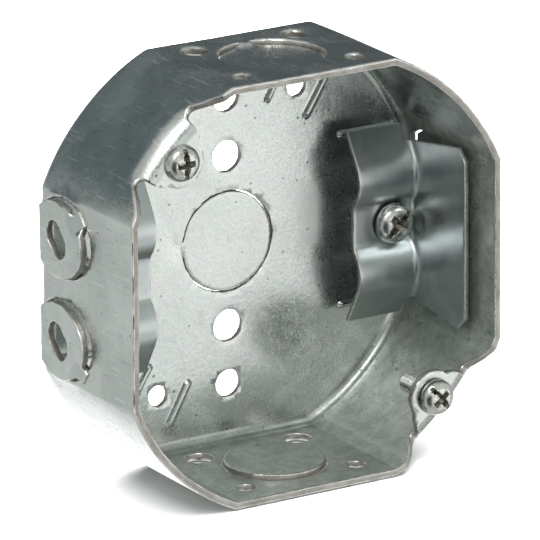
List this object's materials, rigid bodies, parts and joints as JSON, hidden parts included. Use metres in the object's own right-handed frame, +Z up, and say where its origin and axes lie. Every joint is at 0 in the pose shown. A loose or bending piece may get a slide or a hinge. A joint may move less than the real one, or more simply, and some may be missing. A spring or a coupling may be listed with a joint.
{
  "type": "electrical junction box",
  "caption": "Octagonal pressed-steel electrical junction box with knockouts, cable pry-outs, screw-down sheet clamps and cover screws in folded ears.",
  "frame": {"origin": "middle of the back's outer face", "axes": "+Z up, opening towards -Y, +X to the right of a person looking into the opening"},
  "size_m": [0.0966, 0.0381, 0.0932],
  "materials": {
    "galvanised_sheet": "galvanised, scuffed",
    "clamp_sheet": "smooth zinc",
    "plated_screw": "zinc plated"
  },
  "bodies": {
    "box": {"box_body": "galvanised_sheet"},
    "back_knockout": {"back_knockout": "galvanised_sheet"},
    "top_knockout": {"top_knockout": "galvanised_sheet"},
    "bottom_knockout": {"bottom_knockout": "galvanised_sheet"},
    "left_upper_pryout": {"left_upper_pryout": "galvanised_sheet"},
    "left_lower_pryout": {"left_lower_pryout": "galvanised_sheet"},
    "right_upper_pryout": {"right_upper_pryout": "galvanised_sheet"},
    "right_lower_pryout": {"right_lower_pryout": "galvanised_sheet"},
    "left_clamp": {"left_clamp": "clamp_sheet"},
    "right_clamp": {"right_clamp": "clamp_sheet"},
    "left_clamp_screw": {"left_clamp_screw": "plated_screw"},
    "right_clamp_screw": {"right_clamp_screw": "plated_screw"},
    "upper_cover_screw": {"upper_cover_screw": "plated_screw"},
    "lower_cover_screw": {"lower_cover_screw": "plated_screw"}
  },
  "joints": [
    {"name": "back_knockout_bend", "type": "hinge", "parent": "box", "child": "back_knockout", "pos_m": [-0.01125, 0, 0], "axis": [0, 0, 1], "range_deg": [0, 75]},
    {"name": "top_knockout_bend", "type": "hinge", "parent": "box", "child": "top_knockout", "pos_m": [0, -0.00915, 0.045], "axis": [1, 0, 0], "range_deg": [0, 75]},
    {"name": "bottom_knockout_bend", "type": "hinge", "parent": "box", "child": "bottom_knockout", "pos_m": [0, -0.00915, -0.045], "axis": [-1, 0, 0], "range_deg": [0, 75]},
    {"name": "left_upper_pryout_bend", "type": "hinge", "parent": "box", "child": "left_upper_pryout", "pos_m": [-0.04665, -0.01987, 0.01766], "axis": [0, 0.6157, 0.788], "range_deg": [0, 70]},
    {"name": "left_lower_pryout_bend", "type": "hinge", "parent": "box", "child": "left_lower_pryout", "pos_m": [-0.04665, -0.01987, -0.01766], "axis": [0, -0.6157, 0.788], "range_deg": [0, 70]},
    {"name": "right_upper_pryout_bend", "type": "hinge", "parent": "box", "child": "right_upper_pryout", "pos_m": [0.04665, -0.01987, 0.01766], "axis": [0, -0.6157, -0.788], "range_deg": [0, 70]},
    {"name": "right_lower_pryout_bend", "type": "hinge", "parent": "box", "child": "right_lower_pryout", "pos_m": [0.04665, -0.01987, -0.01766], "axis": [0, 0.6157, -0.788], "range_deg": [0, 70]},
    {"name": "left_clamp_travel", "type": "slide", "parent": "box", "child": "left_clamp", "axis": [0, 1, 0], "range_m": [-0.001, 0.0093]},
    {"name": "left_clamp_screw_travel", "type": "slide", "parent": "box", "child": "left_clamp_screw", "axis": [0, 1, 0], "range_m": [-0.001, 0.0093]},
    {"name": "right_clamp_travel", "type": "slide", "parent": "box", "child": "right_clamp", "axis": [0, 1, 0], "range_m": [-0.0068, 0.0035]},
    {"name": "right_clamp_screw_travel", "type": "slide", "parent": "box", "child": "right_clamp_screw", "axis": [0, 1, 0], "range_m": [-0.0068, 0.0035]},
    {"name": "upper_cover_screw_travel", "type": "slide", "parent": "box", "child": "upper_cover_screw", "axis": [0, -1, 0], "range_m": [0, 0.011]},
    {"name": "lower_cover_screw_travel", "type": "slide", "parent": "box", "child": "lower_cover_screw", "axis": [0, -1, 0], "range_m": [-0.00035, 0.011]}
  ],
  "couplings": [
    {"joint": "left_clamp_screw_travel", "follows": "left_clamp_travel", "ratio": 1},
    {"joint": "right_clamp_screw_travel", "follows": "right_clamp_travel", "ratio": 1}
  ]
}
